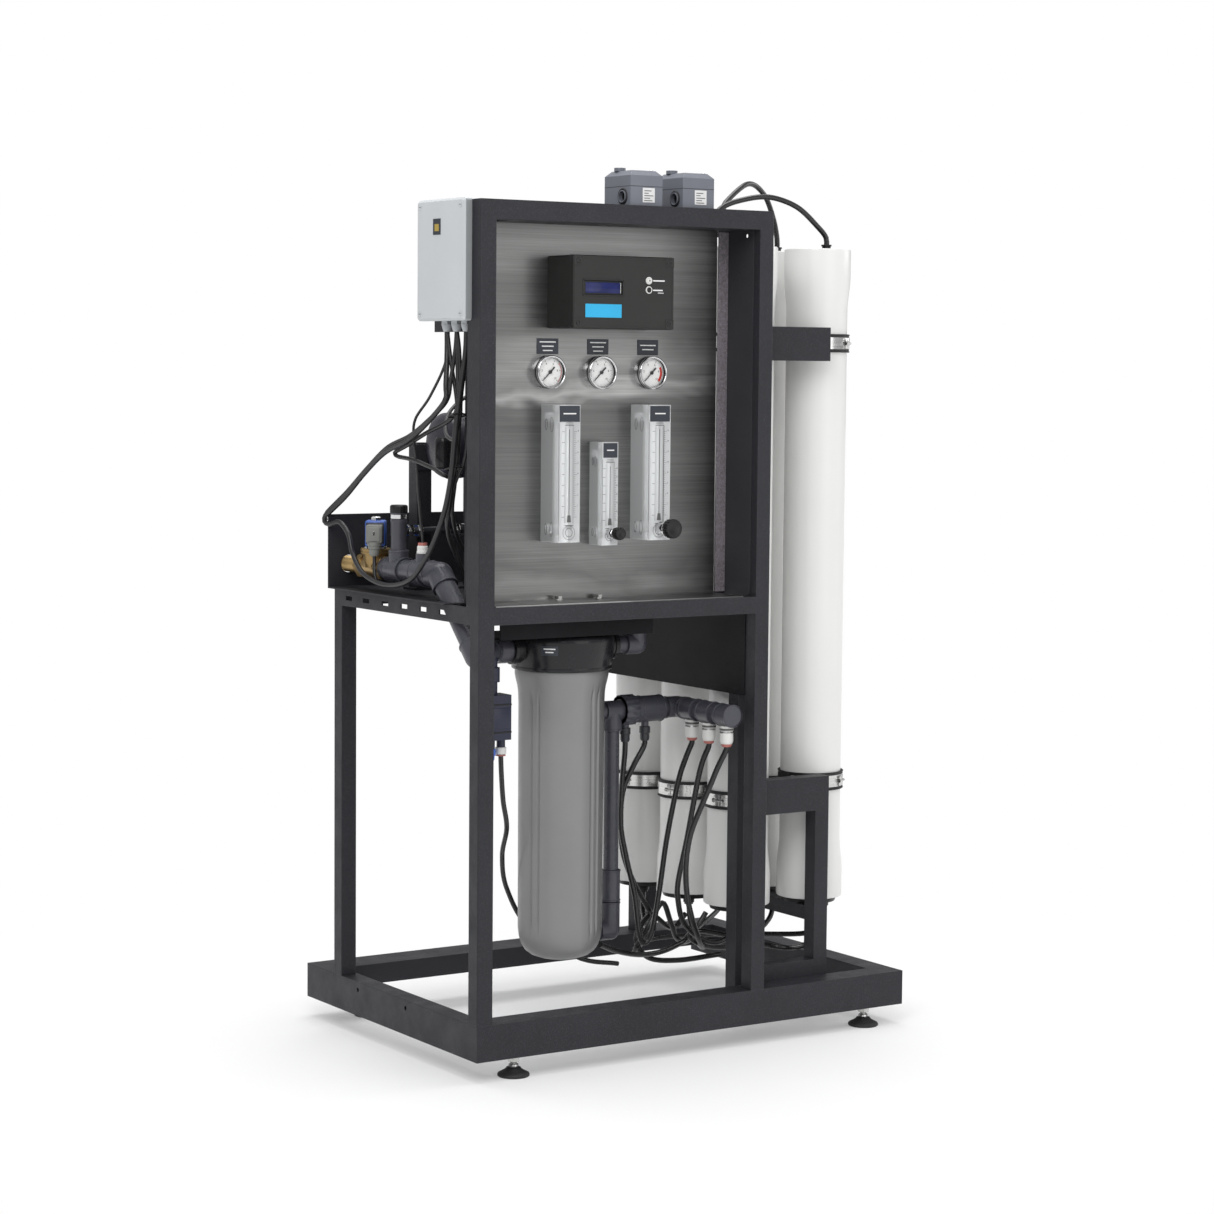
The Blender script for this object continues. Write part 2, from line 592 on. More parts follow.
# Moulded end plugs with a raised rim, ribs and port bosses
PLUG_FOOT = [(0, 30), (50.4, 30), (50.4, -6), (49, -9.6), (45, -10), (43, -8), (41, -4),
             (16, -4), (14, -8), (0, -8)]
PORT_FOOT = [(0, 0), (7.4, 0), (8, -0.6), (8, -8), (10.5, -8.5), (10.5, -14), (8.6, -14.6),
             (8.4, -17.6), (0, -18)]
PLUG_TOP = [(0, -32), (50.4, -32), (50.4, -9), (48, -7), (44, -6.4), (41, -9), (0, -9)]
PORT_TOP = [(0, -10), (11, -10), (11, -4), (9, -3), (8, -2), (8, 6), (9.6, 6.5), (9.6, 9.4),
            (0, 10)]
part = Part()
for x, y in HOUSINGS:
    part.lathe(PLUG_FOOT, x, y, HOUSING_Z, BLACK, 96)
    for k in range(8):
        angle = math.radians(45 * k + 22)
        rib = [(*around(x, y, radius, angle), HOUSING_Z - 4.5) for radius in (17, 41)]
        part.tube(rib, 1.8, BLACK, sides=8)
    port_x = x if x == HOUSING_X[0] else x + 34
    part.lathe(PORT_FOOT, port_x, y, HOUSING_Z - 10, BLACK, 32)
    part.lathe(PLUG_TOP, x, y, HOUSING_TOP, BLACK, 96)
    part.lathe(PORT_TOP, x + 20, y, HOUSING_TOP, BLACK, 32)
part.make("housing_plugs", replaces="housing_end_caps")

# Steel bands over the rubber strips, with a draw bolt each
part = Part()
for x, y in HOUSINGS:
    angle = math.radians(-62 if x == HOUSING_X[1] else 200)
    # the low band of the front right housing sits higher
    for z in (401 if (x, y) == (HOUSING_X[1], HOUSING_Y[0]) else 377, 1214):
        part.lathe([(60.5, 5), (61.1, 5.2), (61.1, 26.8), (60.5, 27)], x, y, z, BAND, 128)
        for e in (0.6, 31.4):
            part.lathe([(60.3, e - 1.4), (61.4, e - 0.8), (61.4, e + 0.8), (60.3, e + 1.4)],
                       x, y, z, RUBBER, 96)
        for side in (-1, 1):
            ear = angle + side * 0.075
            ear_x, ear_y = around(x, y, 62.5, ear)
            part.box(ear_x - 1.6, ear_y - 4, z + 6, 3.2, 8, 20, BAND, 0.8,
                     turn=math.degrees(ear), pivot=(ear_x, ear_y))
        bolt_x, bolt_y = around(x, y, 64, angle)
        # start and end along the bolt, radius, sides: the shank, then its head
        for start, end, radius, sides in ((-9, 11, 2.4, 12), (-11, -7, 4.2, 6)):
            part.tube([(*around(bolt_x, bolt_y, along, angle + math.pi / 2), z + 16)
                       for along in (start, end)], radius, STEEL, sides)
part.make("clamp_bands")

# ------------------------------------------------------------- cartridge filter
FILTER_X, FILTER_Y = 243, 125
FLUTES = [math.radians(90 * i + 20 + offset) for i in range(4) for offset in (-6, 6)]


def fluted(angle, along):
    """Pairs of moulded flutes down the sump wall, fading out at both ends."""
    if along < 46 or along > 486:
        return 1.0
    fade = min(1.0, (along - 46) / 26.0, (486 - along) / 30.0)
    depth = 0.0
    for flute in FLUTES:
        off = (angle - flute + math.pi) % (2 * math.pi) - math.pi
        depth = max(depth, math.exp(-(off / 0.032) ** 2))
    return 1.0 - 0.046 * depth * fade


profile = [(0, 0), (20, 0.4), (38, 2.6), (52, 7.5), (62, 15), (69, 26), (73, 40), (74.5, 52)]
profile += [(74.8 + 1.2 * (i / 20.0), 56 + 20 * i) for i in range(21)]
profile += [(76.6, 474), (78.2, 486), (81.2, 498), (82.8, 506), (83, 511), (82.6, 515.2),
            (72, 515.4), (72, 551)]
part = Part()
part.lathe(profile, FILTER_X, FILTER_Y, 137, SUMP, 480, lobes=fluted)
part.make("sump_shell", body="filter_sump_body", replaces="filter_sump", sharp=50)

# Head: glossy cup, widening upward, with a rolled foot and stepped crown
part = Part()
part.lathe([(73, 0), (86, 0), (88.4, 1.2), (89.2, 3.4), (88.8, 6), (88.6, 8), (89.2, 9),
            (93.2, 50), (93.4, 53), (92.4, 57), (89.6, 60.6), (85, 63), (76, 63.9), (20, 64),
            (0, 64)], FILTER_X, FILTER_Y, 653, HEAD, 180)
# sleeves at both sides: place along X from the filter axis, last profile point
for offset, end in ((-108, (23.6, 40)), (68, (23.6, 40)), (99, (23, 10))):
    part.lathe([(14, 0), (24.5, 0), (25.5, 1), (25.5, 8), (24, 9), end],
               FILTER_X + offset, FILTER_Y, 690, HEAD, 64, "X")
# Label on the head, with two blank bars. Rows: start and end degrees, low and high z,
# distance off the head, material
for start, end, low, high, off, material in (
        (-145, -126, 683, 700, 0.5, LABEL), (-142, -129, 693.6, 695.8, 0.7, INK_WHITE),
        (-140, -131, 688.0, 690.0, 0.7, INK_WHITE)):
    part.ribbon([[(*around(FILTER_X, FILTER_Y, 89.2 + 4.0 * (z - 662) / 41.0 + off, angle), z)
                  for z in (low, high)] for angle in sweep(start, end, 8)],
                material, order=(0, 2, 3, 1))
part.make("filter_head_shell", replaces="filter_head")

# ----------------------------------------------------------------------- gauges
GAUGE_X, GAUGE_Z, GAUGE_FRONT = (189, 294.5, 400), 1173, 77
DIAL_Y = GAUGE_FRONT + 7.75
NEEDLE_Y = GAUGE_FRONT + 5.4


def dial_points(x, y, angle, corners):
    """Points on a dial from (radius, sideways) corners about a radial line."""
    c, s = math.cos(angle), math.sin(angle)
    return [(x + radius * c + side * s, y, GAUGE_Z + radius * s - side * c)
            for radius, side in corners]


part = Part()
for x in GAUGE_X:  # stepped polished ring
    part.lathe([(25.2, 1.6), (25.6, 0.3), (26.4, -0.6), (27.6, -0.9), (28.7, -0.2), (29.2, 1.4),
                (29.2, 5), (28.4, 6.2), (28.4, 8), (29.0, 9), (29.0, 19.9), (26.6, 19.9)],
               x, GAUGE_FRONT, GAUGE_Z, CHROME, 128, "Y")
part.make("gauge_bezels")

# Red arc of each gauge: start and end degrees, inner and outer radius
RED_ARCS = ((40, -45, 22.9, 23.9), None, (28, -42, 18.4, 23.2))
part = Part()
for x, arc in zip(GAUGE_X, RED_ARCS):
    for k in range(51):
        if k % 10 == 0:
            inner, half = 19.0, 0.34
        elif k % 5 == 0:
            inner, half = 20.8, 0.2
        else:
            inner, half = 21.4, 0.12
        corners = ((inner, half), (22.6, half), (22.6, -half), (inner, -half))
        part.quad(dial_points(x, DIAL_Y, math.radians(225 - 270 * k / 50.0), corners), INK)
    for k in range(6):
        number_x, number_z = around(x, GAUGE_Z, 15.6, math.radians(225 - 54 * k))
        part.text(str(k * 2), number_x, DIAL_Y, number_z, size=5.0)
    if arc:
        start, end, inner, outer = arc
        part.ribbon([dial_points(x, DIAL_Y + 0.05, angle, ((inner, 0), (outer, 0)))
                     for angle in sweep(start, end, 24)], RED)
    part.lathe([(24.6, 0), (25.0, 0)], x, DIAL_Y + 0.02, GAUGE_Z, INK, 96, "Y")
part.make("gauge_dial_marks")

NEEDLE = ((-12, 1.3), (-12, -1.3), (20.5, -0.5), (20.5, 0.5))  # radius, sideways
for i, x in enumerate(GAUGE_X, start=1):
    part = Part()
    part.add([point for y in (NEEDLE_Y, NEEDLE_Y + 0.8)
              for point in dial_points(x, y, math.radians(225), NEEDLE)],
             [(0, 1, 2, 3), (7, 6, 5, 4), (0, 4, 5, 1), (1, 5, 6, 2), (2, 6, 7, 3), (3, 7, 4, 0)],
             INK)
    part.lathe([(0, -1.2), (2.4, -1.2), (3.1, -0.6), (3.1, 1.6), (1.5, 1.6), (1.5, 8)],
               x, NEEDLE_Y, GAUGE_Z, INK, 32, "Y")
    part.make(f"gauge_pointer_{i}", body=f"gauge_needle_{i}_body",
              replaces=f"gauge_needle_{i}")

# Label plates with blank bars. Rows: left, right, bottom, top, y, bars as (x, z, width, height)
PLATES = [(x - 22, x + 22, 1204, 1231, 96.0,
           [(x, 1217.5 - (k - (count - 1) / 2) * 7.4, (33, 24, 20)[k], 2.0)
            for k in range(count)])
          for x, count in ((191.5, 3), (295, 3), (400, 2))]
PLATES += [(181.5, 222.5, 1088, 1115.5, 39.1, [(202, 1102, 26, 2.2)]),
           (282, 311, 1025, 1050.5, 55.1, [(296.5, 1038, 15, 2.0)]),
           (368.5, 410, 1088, 1115.5, 39.1, [(389.5, 1102, 22, 2.2)])]
part = Part()
for left, right, bottom, top, y, bars in PLATES:
    part.box(left, y, bottom, right - left, 0.9, top - bottom, LABEL, 0.35, 1)
    for x, z, width, height in bars:
        part.box(x - width / 2, y - 0.12, z - height / 2, width, 0.16, height,
                 INK_WHITE, 0.05, 1)
part.make("label_plates")

# ------------------------------------------------------------------ flow meters
# Left x, width, front y, foot z, height, depth of the bore behind the front
METERS = ((180, 44, 40, 880, 237, 24), (280, 33, 56, 872, 180, 18), (366, 46, 40, 880, 237, 24))
SCALE_START, SCALE_END = 44, 46  # from the foot, from the top
part = Part()
for i, (x, width, front, z, height, depth) in enumerate(METERS):
    small = i == 1
    last = i == 2
    y = front - 0.25
    centre = x + width / 2
    low, high = z + SCALE_START, z + height - SCALE_END
    ticks = 31 if small else 41
    for k in range(ticks):
        at = low + (high - low) * k / (ticks - 1)
        major = k % 5 == 0
        length = 5.6 if major else 3.0
        part.front_rect(centre + 9.5, centre + 9.5 + length, at - 0.25, at + 0.25, y, INK)
        if major:
            part.front_rect(centre - 9.5 - length, centre - 9.5, at - 0.3, at + 0.3, y, INK)
            if k:
                part.text(str(k // 5 * (2 if i else 1)), centre + (14.4 if small else 17.6), y,
                          at + 1.4, size=3.2 if small else 4.2)
    # upright lines: left edge, width, bottom, top, material
    for left, line, bottom, top, material in (
            (x + 0.2, 0.9, z + 14, z + height - 30, SEAL_GREY),
            (centre - 9.0, 0.7, low - 10, high + 8, SEAL_GREY),
            (centre - 6.6, 0.4, low - 10, high + 8, SEAL_GREY),
            (centre + 6.4, 0.4, low - 10, high + 8, SEAL_GREY),
            (centre + 8.2, 1.3 if last else 0.7, low - 12, high + 10,
             INK if last else SEAL_GREY),
            (centre - 0.5, 1.0, low - 4, high + 4, INK)):
        part.front_rect(left, left + line, bottom, top, y - 0.02, material)
    # threaded plugs at both ends
    for at, way in ((low - 14, -1), (high + 10, 1)):
        for k, material in enumerate((INK, SEAL_DARK, SEAL_GREY)):
            part.front_rect(centre - 9 + k, centre + 9 - k, at + way * k * 2.6,
                            at + way * (k * 2.6 + 0.9), y - 0.02, material)
    # large round plug at the foot, drawn as two thin rings
    for outer, line, material in ((9.5 if small else 12.5, 0.9, SEAL_GREY),
                                  (6 if small else 7.5, 0.8, SEAL_DARK)):
        part.ribbon([[(centre + r * math.cos(angle), y - 0.03, z + 17 + r * math.sin(angle))
                      for r in (outer, outer - line)] for angle in sweep(0, 360, 40)], material)
    # rear ports seen through the left side, as narrow upright rings
    for port_z in (z + 22, z + height - 34):
        for port_y, outer, material in (
                (front + 22, 9 if small else 13, SEAL_GREY),
                (front + (30 if small else 40), 7 if small else 10, SEAL_DARK)):
            radii = ((outer * 0.42, outer), (outer * 0.42 - 1.6, outer - 1.2))
            part.ribbon([[(x - 0.25, port_y + ry * math.cos(angle), port_z + rz * math.sin(angle))
                          for ry, rz in radii] for angle in sweep(0, 360, 32)], material)
part.make("flow_scale_marks")

# Float outlines, each riding its own float
for i, (x, width, front, z, height, depth) in enumerate(METERS, start=1):
    part = Part()
    part.quad([(x + width / 2 + side, front - 0.28, z + SCALE_START + up)
               for side, up in ((-4.2, -9), (4.2, -9), (3.0, 3), (-3.0, 3))], SEAL_DARK)
    part.make(f"flow_float_{i}_outline", body=f"flow_float_{i}_body")

# Seals at the ends of the bore and in the rear ports, seen through the block
part = Part()
for x, width, front, z, height, depth in METERS:
    centre, bore_y = x + width / 2, front + depth
    for end, way in ((z + 13, 1), (z + height - 13, -1)):
        part.lathe([(8.35, 0), (8.35, way * 1.4)], centre, bore_y, end, RUBBER, 40)
        for q in (3.2, 7.2):
            part.lathe([(7.4, way * q), (8.4, way * (q + 0.9)), (7.4, way * (q + 1.8))],
                       centre, bore_y, end, RUBBER, 40)
    for port_z in (z + 22, z + height - 22):
        for q in (14, 20):
            part.lathe([(8.9, q), (9.03, q + 0.8), (8.9, q + 1.6)],
                       centre, bore_y, port_z, RUBBER, 40, "Y")
part.make("flow_seals")

# Chrome stem collars behind the knobs: x, y, z, radius, length, sides
part = Part()
for x, y, z, r, length, sides in ((296.5, 38.3, 894, 8, 9.6, 6), (389, 9, 902, 9, 22.9, 48)):
    part.lathe([(4.3, 0), (r - 1.5, 0), (r - 0.6, 0.8), (r - 0.6, length * 0.45),
                (r + 2, length * 0.5), (r + 2, length - 0.6), (r + 1.2, length)],
               x, y, z, CHROME, sides, "Y")
part.make("knob_collars")

# Knobs: name, x, y, z, radius, length, grip flutes, stem beyond the knob
for name, x, y, z, r, length, flutes, stem in (
        ("flow_knob_2", 296.5, 18, 894, 11, 20, 14, 26),
        ("flow_knob_3", 389, -10, 902, 17, 18.5, 18, 18)):

    def grip(angle, along):
        if 1.0 < along < length - 1.5:
            return 1 - 0.07 * max(0.0, math.cos(angle * flutes))
        return 1

    part = Part()
    part.lathe([(0, 0.6), (r * 0.55, 0.5), (r * 0.62, 0), (r - 1.8, 0), (r - 0.4, 1.2), (r, 3),
                (r, length - 4), (r - 1.2, length - 2), (r - 3.0, length), (0, length)],
               x, y, z, BLACK, flutes * 12, "Y", grip)
    part.lathe([(4, length - 1), (4, length + stem)], x, y, z, CHROME, 24, "Y")
    part.make(name + "_grip", body=name + "_body", replaces=name, sharp=50)

# ------------------------------------------------------------------- controller
# Box rows here and below: x, y, z, length, depth, height, material, edge radius, segments
part = Part()
part.boxes((212.4, 13.4, 1306.4, 78.2, 2.4, 23.2, BLACK, 0.6),
           (215.5, 13.0, 1308.6, 70, 1.2, 18.2, SCREEN, 0.4),
           (286.6, 13.1, 1309, 0.8, 0.8, 17.6, INK_WHITE, 0.1, 1),
           (215, 12.4, 1267, 74, 0.6, 23, CYAN, 0.25, 1),
           # display frame
           (209.5, 11.9, 1303.4, 84, 1.4, 2.2, CONTROL, 0.6),
           (209.5, 11.9, 1330.4, 84, 1.4, 2.2, CONTROL, 0.6),
           (209.5, 11.9, 1303.4, 2.2, 1.4, 29.2, CONTROL, 0.6),
           (291.3, 11.9, 1303.4, 2.2, 1.4, 29.2, CONTROL, 0.6))
part.make("controller_screen", replaces="controller_display")

BUTTON_X = 345
BUTTONS = (("start", 1332, WHITE), ("stop", 1316, BLACK))
part = Part()
for name, z, material in BUTTONS:
    part.lathe([(4.7, -1.6), (6.25, -1.6), (6.45, -1.2), (6.45, 0.4)],
               BUTTON_X, 13, z, WHITE, 48, "Y")
part.boxes((354, 12.6, 1331, 24, 0.5, 2.2, INK_WHITE, 0.1, 1),
           (354, 12.6, 1314.6, 20, 0.5, 2.2, INK_WHITE, 0.1, 1),
           (364, 12.6, 1310.6, 12, 0.5, 1.2, INK_WHITE, 0.1, 1))
# raised corner pads and a rim on the lid, then the dark seam behind it
for x in (191.6, 380.4):
    for z in (1248.6, 1355.4):
        part.box(x, 12.2, z, 17, 1.6, 17, CONTROL, 0.7)
part.boxes((209, 12.5, 1249.2, 171, 1.2, 3.2, CONTROL, 0.5),
           (209, 12.5, 1368.6, 171, 1.2, 3.2, CONTROL, 0.5),
           (192.2, 12.5, 1266, 3.2, 1.2, 89, CONTROL, 0.5),
           (393.6, 12.5, 1266, 3.2, 1.2, 89, CONTROL, 0.5),
           (190.7, 23.2, 1247.7, 207.6, 1.0, 125.6, INK, 0.4))
for x in (201, 388):  # screw recesses in the corners
    for z in (1258, 1363):
        part.lathe([(0, 0.9), (3.0, 0.6), (3.4, -0.6), (4.6, -0.9), (5.0, 0.2), (5.0, 2)],
                   x, 11.9, z, INK, 32, "Y")
part.make("controller_trim")

for name, z, material in BUTTONS:
    part = Part()
    part.lathe([(0, -3.4), (2.8, -3.3), (4.1, -2.6), (4.5, -1.8), (4.5, 4), (6.4, 4), (6.4, 6)],
               BUTTON_X, 13, z, material, 40, "Y")
    if name == "start":
        part.add([(343.8, 9.55, z - 1.8), (343.8, 9.55, z + 1.8), (347, 9.55, z)],
                 [(0, 1, 2)], INK)
    part.make(f"button_{name}_cap", body=f"button_{name}_body",
              replaces="button_" + name)

# --------------------------------------------------------------- electrical box
GLAND_X = 14
part = Part()
part.boxes((-16.9, 107, 1403, 1.0, 25, 27, LABEL, 0.3, 1),
           (-17.2, 112, 1409, 0.4, 14, 12, AMBER, 0.1, 1))
for y in (41, 178):  # slotted screw heads on the left face
    for z in (1270, 1451):
        part.lathe([(4.6, 0.1), (4.9, -0.5), (4.3, -0.8), (3.9, -0.4), (0, -0.4)],
                   -16, y, z, ENCLOSURE, 32, "X")
        part.box(-16.6, y - 2.6, z - 0.5, 0.4, 5.2, 1.0, INK, 0.1, 1)
for y in (70, 103, 136):  # cable gland domes
    part.lathe([(4.2, -21), (5.6, -21), (6.8, -19), (8.6, -13), (9.4, -9.5), (9.4, -8),
                (10.6, -8)], GLAND_X, y, 1261, GLAND, 36,
               lobes=lambda angle, z: 1 + (0.02 * math.cos(angle * 18) if -18 < z < -9 else 0))
part.make("electrical_box_trim")

# ------------------------------------------------------------ pressure switches
part = Part()
for x in (303.5, 412.5):
    part.box(x + 25, 9.4, 1466, 25, 0.8, 25, STICKER, 0.3, 1)
    for k, length in enumerate((17, 12, 19, 9, 15)):
        part.box(x + 28, 9.25, 1468.5 + 4.2 * k, length, 0.3, 1.3, INK, 0.1, 1)
    # entry gland in the left face, with a black insert
    part.lathe([(14.4, 0), (14.4, -1.2), (13, -2.2), (12.4, -1), (12.4, 10), (0, 10)],
               x, 34, 1476, INK, 48, "X")
    part.lathe([(9, -2.6), (10, -3.2), (11, -2.6), (11, 6)], x, 34, 1476, SWITCH, 48, "X")
    # lid seam and cap screws
    part.box(x - 0.3, 9.7, 1493, 66.6, 82.6, 0.9, INK, 0.2, 1)
    for y in (24, 80):
        part.lathe([(0, 1.2), (2.6, 1.2), (3.2, 0.6), (3.2, -1)], x + 52, y, 1521, STEEL, 24)
part.make("switch_trim")

# ------------------------------------------------------------------------- feet
THREAD_START, THREAD_PITCH = 23, 1.75  # above the floor
for name, x, y, top in (("front_left", 88, 25, 40), ("front_right", 850, 25, 40),
                        ("rear_left", 100, 570, 45), ("rear_right", 899, 460, 40)):
    part = Part()
    part.lathe([(0, 0), (26.5, 0), (27.8, 1.2), (28, 3.4), (27, 5.4), (20, 9), (14.5, 12.4),
                (12.6, 15.2), (9.5, 16.4), (0, 16.6)], x, y, FLOOR_Z, RUBBER, 80)
    length = top - FLOOR_Z
    stud = [(0, 16), (8.4, 16), (9.6, 18), (8.6, 21), (6.0, 22.4)]
    for k in range(math.ceil((length - 2 - THREAD_START) / THREAD_PITCH)):
        z = THREAD_START + k * THREAD_PITCH
        stud += [(5.3, z), (6.0, z + 0.8), (5.3, z + 1.6)]
    stud += [(5.0, length), (0, length)]
    part.lathe(stud, x, y, FLOOR_Z, STEEL, 40)
    part.make("levelling_" + name, body=f"foot_{name}_body",
              replaces="foot_" + name)

# --------------------------------------------------------------- solenoid valve
INLET_X, INLET_Z = 30, 820  # line of the inlet pipe along Y
VALVE = (INLET_X, 418)
COIL_TURN = -33
coil_front = math.radians(COIL_TURN - 90)
part = Part()
for row in ((12, 396, 858, 36, 44, 46, BLUE, 3), (13.5, 392.4, 863, 33, 4, 38, NAVY, 1.5),
            (15.5, 368, 866, 29, 25, 32, CONNECTOR, 2.6),
            (18.5, 364.6, 869, 23, 4, 26, CONNECTOR, 1.6)):
    part.box(*row, turn=COIL_TURN, pivot=VALVE)
part.lathe([(0, 2), (1.4, 1.8), (3.2, 1.4), (3.6, 0), (3.6, -3)],
           *around(*VALVE, 52.6, coil_front), 883, STEEL, 24, "-Y")
x, y = around(*VALVE, 38, coil_front)
part.lathe([(3.4, -24), (6.6, -24), (7.6, -22), (9.4, -19), (9.6, -12), (11.5, -11), (11.5, -6),
            (13, -5), (13, 2)], x, y, 866, CONNECTOR, 32)
part.tube([(x, y, 845), (x - 1, y - 3, 828), (x - 3, y - 8, 808), (x - 1, y - 14, 793)],
          3.2, CABLE)
part.lathe([(5, 0), (9.6, 0), (9.6, 5), (7, 7), (0, 7)], *VALVE, 904, STEEL, 6)
part.make("solenoid_coil_block", replaces="solenoid_coil")

# Brass thread rings behind the valve, bonnet bolts and bonnet rim
part = Part()
thread = []
for k in range(27):
    y = 2.3 * k
    thread += [(14.0, y), (14.9, y + 1.1), (14.0, y + 2.2)]
part.lathe(thread, INLET_X, 466, INLET_Z, BRASS, 48, "Y")
for k in range(4):
    part.lathe([(0, 4.2), (3.6, 4.2), (4.3, 3.4), (4.3, -2)],
               *around(*VALVE, 21.5, math.radians(45 + 90 * k + COIL_TURN)), 853.5, STEEL, 6)
part.lathe([(26, 0), (27.8, 1), (27.8, 3.2), (26, 4.4), (27.8, 5.6), (27.8, 8.6), (25, 10)],
           *VALVE, 844, BRASS, 64)
part.make("valve_dressing")

# ------------------------------------------------------------------ flush valve
part = Part()
part.lathe([(0, 0), (5.4, 0.4), (6.4, 2), (6.6, 8), (8.4, 9), (8.4, 20), (7.4, 21)],
           79, 92, 503, BLUE, 32,
           lobes=lambda angle, z: 1 + (0.03 * math.cos(angle * 12) if z > 8.5 else 0))
part.boxes((63.2, 71.2, 552, 45.6, 41.6, 3, BLACK, 0.8),
           (63.2, 71.2, 600, 45.6, 41.6, 3, BLACK, 0.8),
           (66, 71.0, 560, 40, 1.4, 36, NAVY, 0.6))
part.lathe([(5.5, 0), (9.0, 0.6), (9.6, 2), (9.6, 12), (7.8, 13)], 99, 92, 513, WHITE, 32)
part.lathe([(5.5, -0.4), (8.4, -0.6), (8.6, -2.6), (5.4, -3)], 99, 92, 513, COLLET, 32)
part.tube([(99, 92, 512), (101, 93, 480), (108, 98, 430), (124, 112, 380), (150, 170, 320),
           (190, 220, 250), (250, 240, 170), (340, 215, 110), (420, 205, 92)], 4.4, HOSE)
part.make("flush_valve_trim")

# ----------------------------------------------------- plastic pipe socket rims
MANIFOLD_X, MANIFOLD_Z = 535, 562  # line of the manifold along Y
CROSS_Y = 190  # line of its cross run along X


def rim(radius, lip, crown=0.4, half=1.8, shoulder=1.3):
    """Rounded ring standing proud of a pipe."""
    return [(radius - lip, -half), (radius, -shoulder), (radius + crown, 0), (radius, shoulder),
            (radius - lip, half)]


part = Part()
for y in (211, 308, 357, 232, 261.5):
    part.lathe(rim(23.7, lip=1.4, crown=0.5, half=2.2, shoulder=1.6),
               INLET_X, y, INLET_Z, PVC, 64, "Y")
for y, z in ((166.6, 801.6), (73.4, 708.4)):  # on the sloping leg
    part.lathe(rim(23.7, lip=1.5, half=2.2, shoulder=1.6), INLET_X, y, z, PVC, 64, "YZ")
for y, radius in ((14, 20.7), (48, 20.7), (70, 20.7), (104, 20.7), (124, 20.7), (158, 20.7),
                  (167, 20.2)):
    part.lathe(rim(radius, lip=1.2), MANIFOLD_X, y, MANIFOLD_Z, PVC, 56, "Y")
for x, radius in ((509, 20.2), (495, 24.7), (450, 24.7), (438, 24.7)):
    part.lathe(rim(radius, lip=1.2), x, CROSS_Y, MANIFOLD_Z, PVC, 56, "X")
for z, radius in ((270, 18.2), (216, 18.2), (211, 18.2), (528, 19.2)):
    part.lathe(rim(radius, lip=1.6), 392, CROSS_Y, z, PVC, 56)
# union nut with grip ribs on the cross run
part.lathe([(20, 0), (26.4, 0), (27.6, 1), (27.6, 27), (26.4, 28), (20, 28)],
           409, CROSS_Y, MANIFOLD_Z, PVC, 96, "X",
           lambda angle, x: 1 + (0.022 * math.cos(angle * 16) if 0.5 < x < 27.5 else 0))
part.make("pipe_sockets")

# Inlet stub with bright ring and black cap, and a push-in fitting in front of it
part = Part()
part.lathe([(12, 31.8), (18.4, 31.8), (18.6, 34), (17.6, 35.4), (14.2, 35.8), (14.2, 60),
            (14.8, 61), (14.8, 84), (15.4, 85), (15.4, 89), (14.2, 90), (14.2, 99), (15.4, 100),
            (15.4, 101.5)], INLET_X, 333, INLET_Z, PVC, 56)
part.lathe([(14.4, 91), (14.9, 91.6), (14.9, 98.4), (14.4, 99)],
           INLET_X, 333, INLET_Z, CHROME, 56)
part.lathe([(0, 115.6), (13.6, 115.6), (15.4, 114), (15.8, 112), (15.8, 102), (14.8, 101)],
           INLET_X, 333, INLET_Z, BLACK, 96,
           lobes=lambda angle, z: 1 + (0.02 * math.cos(angle * 20) if 101.5 < z < 113 else 0))
part.lathe([(9, 33), (10.4, 33), (10.4, 38), (9.6, 39), (9.6, 46), (8.6, 47), (8.6, 48)],
           INLET_X, 247, INLET_Z, WHITE, 36)
part.lathe([(5.4, 53), (7.8, 53), (8.2, 52), (8.2, 48), (7.4, 48)],
           INLET_X, 247, INLET_Z, COLLET, 36)
part.make("inlet_adapters", replaces="inlet_fittings")

# Push-in fittings below the manifold
part = Part()
for y in (32, 87, 141):
    at = (MANIFOLD_X, y, MANIFOLD_Z - 20)
    part.lathe([(8, 2), (12.2, 1), (12.4, -7), (11, -8.4), (11, -10.6), (12, -11.6),
                (12.2, -26), (11, -30), (9.6, -31.6), (9.6, -32.4)], *at, WHITE, 48,
               lobes=lambda angle, z: 1 + (0.012 * math.cos(angle * 12)
                                           if -28 < z < -12.5 else 0))
    part.lathe([(9.7, -31.4), (9.9, -33.4), (8.0, -36.6), (5.6, -37)], *at, COLLET, 40)
    for q in (-8.9, -10.6):
        part.lathe([(12.0, q), (12.7, q - 0.6), (12.0, q - 1.2)], *at, CHROME, 40)
    part.lathe([(12.3, -3), (12.9, -4), (12.9, -6), (12.3, -7)], *at, SEAL_DARK, 40)
for x in (421, 464):
    part.lathe([(7, 0), (10, -0.6), (10, -12), (8.6, -13), (8.6, -22), (7.4, -26), (5.4, -27)],
               x, CROSS_Y, MANIFOLD_Z - 32, PVC_DARK, 40)
part.make("push_fittings", replaces="quick_fittings")

# ------------------------------------------------------------- hoses and cables
TOP_END, LOW_END = 1409, 171  # z of hose ends at the housings' top and low ports


def run_lines(name, material, lines, replaces=None):
    """One object from tubes given as (radius, stations)."""
    part = Part()
    for radius, stations in lines:
        part.tube(stations, radius, material)
    part.make(name, replaces=replaces)


